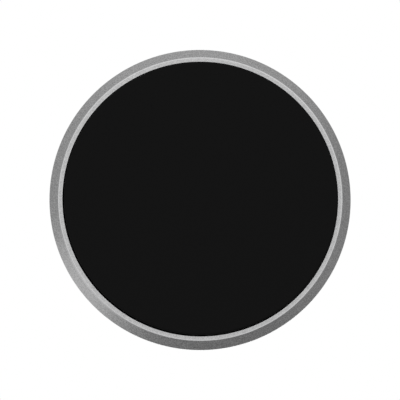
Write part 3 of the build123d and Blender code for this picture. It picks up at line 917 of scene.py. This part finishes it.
BELT = 0.145                    # the least glow, which comes from every side
GLOWS = [                       # azimuth, height, spread in degrees, strength
    (110, -78, 54, 0.645),      # from below, for the flat ring
    (0, 90, 75, 0.74),          # from above, for the top
    (-34, 0, 28, 0.58),         # a narrow panel, for the bright part of the chamfer
    (-36, -38, 33, 0.36),       # the same panel carried on downwards
    (85, 0, 100, 0.215),        # a very wide, faint panel on the other side
    (2, 0, 36, 0.10),           # and two fainter ones between them
    (198, 0, 45, 0.09),
]
tent = bpy.data.worlds.new("light_tent")
bpy.context.scene.world = tent
tent.use_nodes = True
sky = tent.node_tree
outwards = node(sky, "TexCoord").outputs["Generated"]
total = BELT
for azimuth, height, spread, strength in GLOWS:
    towards = degrees_to_direction(azimuth, height)
    aligned = node(sky, "VectorMath", {0: outwards, 1: towards}, operation="DOT_PRODUCT").outputs["Value"]
    glow = node(sky, "MapRange", {"Value": aligned, "From Min": float(np.cos(np.radians(spread))),
                                  "From Max": 1.0, "To Max": strength}, interpolation_type="SMOOTHSTEP")
    total = node(sky, "Math", {0: glow.outputs[0], 1: total}, operation="ADD").outputs[0]
cloth = node(sky, "Background", {"Color": (1, 1, 1, 1), "Strength": total}).outputs[0]
backdrop = node(sky, "Background", {"Color": (1, 1, 1, 1), "Strength": 1.0}).outputs[0]
seen = node(sky, "LightPath").outputs["Is Camera Ray"]
chosen = node(sky, "MixShader", {0: seen, 1: cloth, 2: backdrop}).outputs[0]
sky.links.new(chosen, sky.nodes["World Output"].inputs["Surface"])
print("glows:", len(GLOWS))

# %% [markdown]
# Two large soft lamps above give the upper side its shape and the floor its soft shadow. They stay out of
# the camera's sight.

# %% Two soft lamps
from mathutils import Matrix, Vector


def soft_lamp(name, azimuth, height, away, side, watts):
    """A square area lamp at a distance from the object's middle, aimed at it."""
    data = bpy.data.lights.new(name, "AREA")
    data.size, data.energy = side, watts
    lamp = bpy.data.objects.new(name, data)
    outward = Vector(degrees_to_direction(azimuth, height))
    lamp.location = outward * away + Vector((0, 0, TOP_Z / 2 * MM))
    lamp.rotation_euler = outward.to_track_quat("Z", "Y").to_euler()
    lamp.visible_camera = False
    bpy.context.collection.objects.link(lamp)
    print(f"{name}: {watts} W, {side} m square, {away} m away")


soft_lamp("key_lamp", -120, 62, 0.75, 0.6, 1.8)
soft_lamp("fill_lamp", 80, 50, 0.9, 0.8, 0.8)

# %% [markdown]
# ## The floor
#
# The puck stands on a plain pale floor. The camera also has to look at the puck from underneath, so the
# floor is only there from above: seen from below it is clear. It also fades into the white backdrop with
# distance, as a sheet of paper does that curves up behind the object, so no horizon shows. It takes shadows,
# but throws no light or shadow of its own.

# %% A floor that is clear from below
PALE_FROM, PALE_TO = 0.92, 0.94
FLOOR_HALF = 6.0
FLOOR_LEVEL = -0.05 * MM
FADE_FROM, FADE_TO = 0.10, 0.45     # metres from the puck's axis
floor_mesh = bpy.data.meshes.new("floor")
corners = [(x * FLOOR_HALF, y * FLOOR_HALF, FLOOR_LEVEL) for x, y in ((-1, -1), (1, -1), (1, 1), (-1, 1))]
floor_mesh.from_pydata(corners, [], [(0, 1, 2, 3)])
floor = bpy.data.objects.new("floor", floor_mesh)
bpy.context.collection.objects.link(floor)
paint = bpy.data.materials.new("pale_floor")
paint.use_nodes = True
tree = paint.node_tree
shader = tree.nodes["Principled BSDF"]
shader.inputs["Roughness"].default_value = 0.8
shader.inputs["Specular IOR Level"].default_value = 0.2
spot_on_floor = node(tree, "TexCoord").outputs["Object"]
mottle = node(tree, "TexNoise", {"Vector": spot_on_floor, "Scale": 14.0}).outputs["Fac"]
pale = node(tree, "MapRange", {"Value": mottle, "To Min": PALE_FROM, "To Max": PALE_TO}).outputs[0]
tree.links.new(pale, shader.inputs["Base Color"])
clear = node(tree, "BsdfTransparent").outputs[0]
below = node(tree, "NewGeometry").outputs["Backfacing"]
away_from_puck = node(tree, "VectorMath", {0: spot_on_floor}, operation="LENGTH").outputs["Value"]
faded = node(tree, "MapRange", {"Value": away_from_puck, "From Min": FADE_FROM, "From Max": FADE_TO},
             interpolation_type="SMOOTHERSTEP").outputs[0]
unseen = node(tree, "Math", {0: below, 1: faded}, operation="MAXIMUM").outputs[0]
either = node(tree, "MixShader", {0: unseen, 1: shader.outputs[0], 2: clear}).outputs[0]
tree.links.new(either, tree.nodes["Material Output"].inputs["Surface"])
floor_mesh.materials.append(paint)
floor.visible_diffuse = floor.visible_glossy = floor.visible_transmission = floor.visible_shadow = False
print("floor:", 2 * FLOOR_HALF, "m square")

# %% [markdown]
# ## The camera
#
# The main view looks at the underside through a long lens, a few degrees off the axis, so that circles stay
# circles and the pad's edge only just shows. The camera's own axes are worked out from the direction it
# looks in.

# %% A long lens below the puck
AWAY = 379.0              # mm from the chamfer's outer edge
LENS = 146.84
TILT, TILT_TOWARDS = 4.7, -79.0     # degrees off the axis, and the azimuth it is off towards
AIM_X, AIM_Y = 0.063, -0.26         # mm from the axis
camera_data = bpy.data.cameras.new("camera")
camera_data.lens, camera_data.sensor_width = LENS, 36.0
camera_data.clip_start, camera_data.clip_end = 0.02, 50.0
camera = bpy.data.objects.new("camera", camera_data)
bpy.context.collection.objects.link(camera)
bpy.context.scene.camera = camera
aim = Vector((AIM_X, AIM_Y, RIM_Z + CHAMFER)) * MM
outward = Vector(degrees_to_direction(TILT_TOWARDS, TILT - 90))
forward = -outward
right = forward.cross(Vector((0, 1, 0))).normalized()
upward = right.cross(forward)
camera.matrix_world = Matrix((
    (right.x, upward.x, outward.x, aim.x + outward.x * AWAY * MM),
    (right.y, upward.y, outward.y, aim.y + outward.y * AWAY * MM),
    (right.z, upward.z, outward.z, aim.z + outward.z * AWAY * MM),
    (0, 0, 0, 1),
))
bpy.context.scene.view_settings.view_transform = "Standard"
print("camera at", [round(part, 4) for part in camera.location])
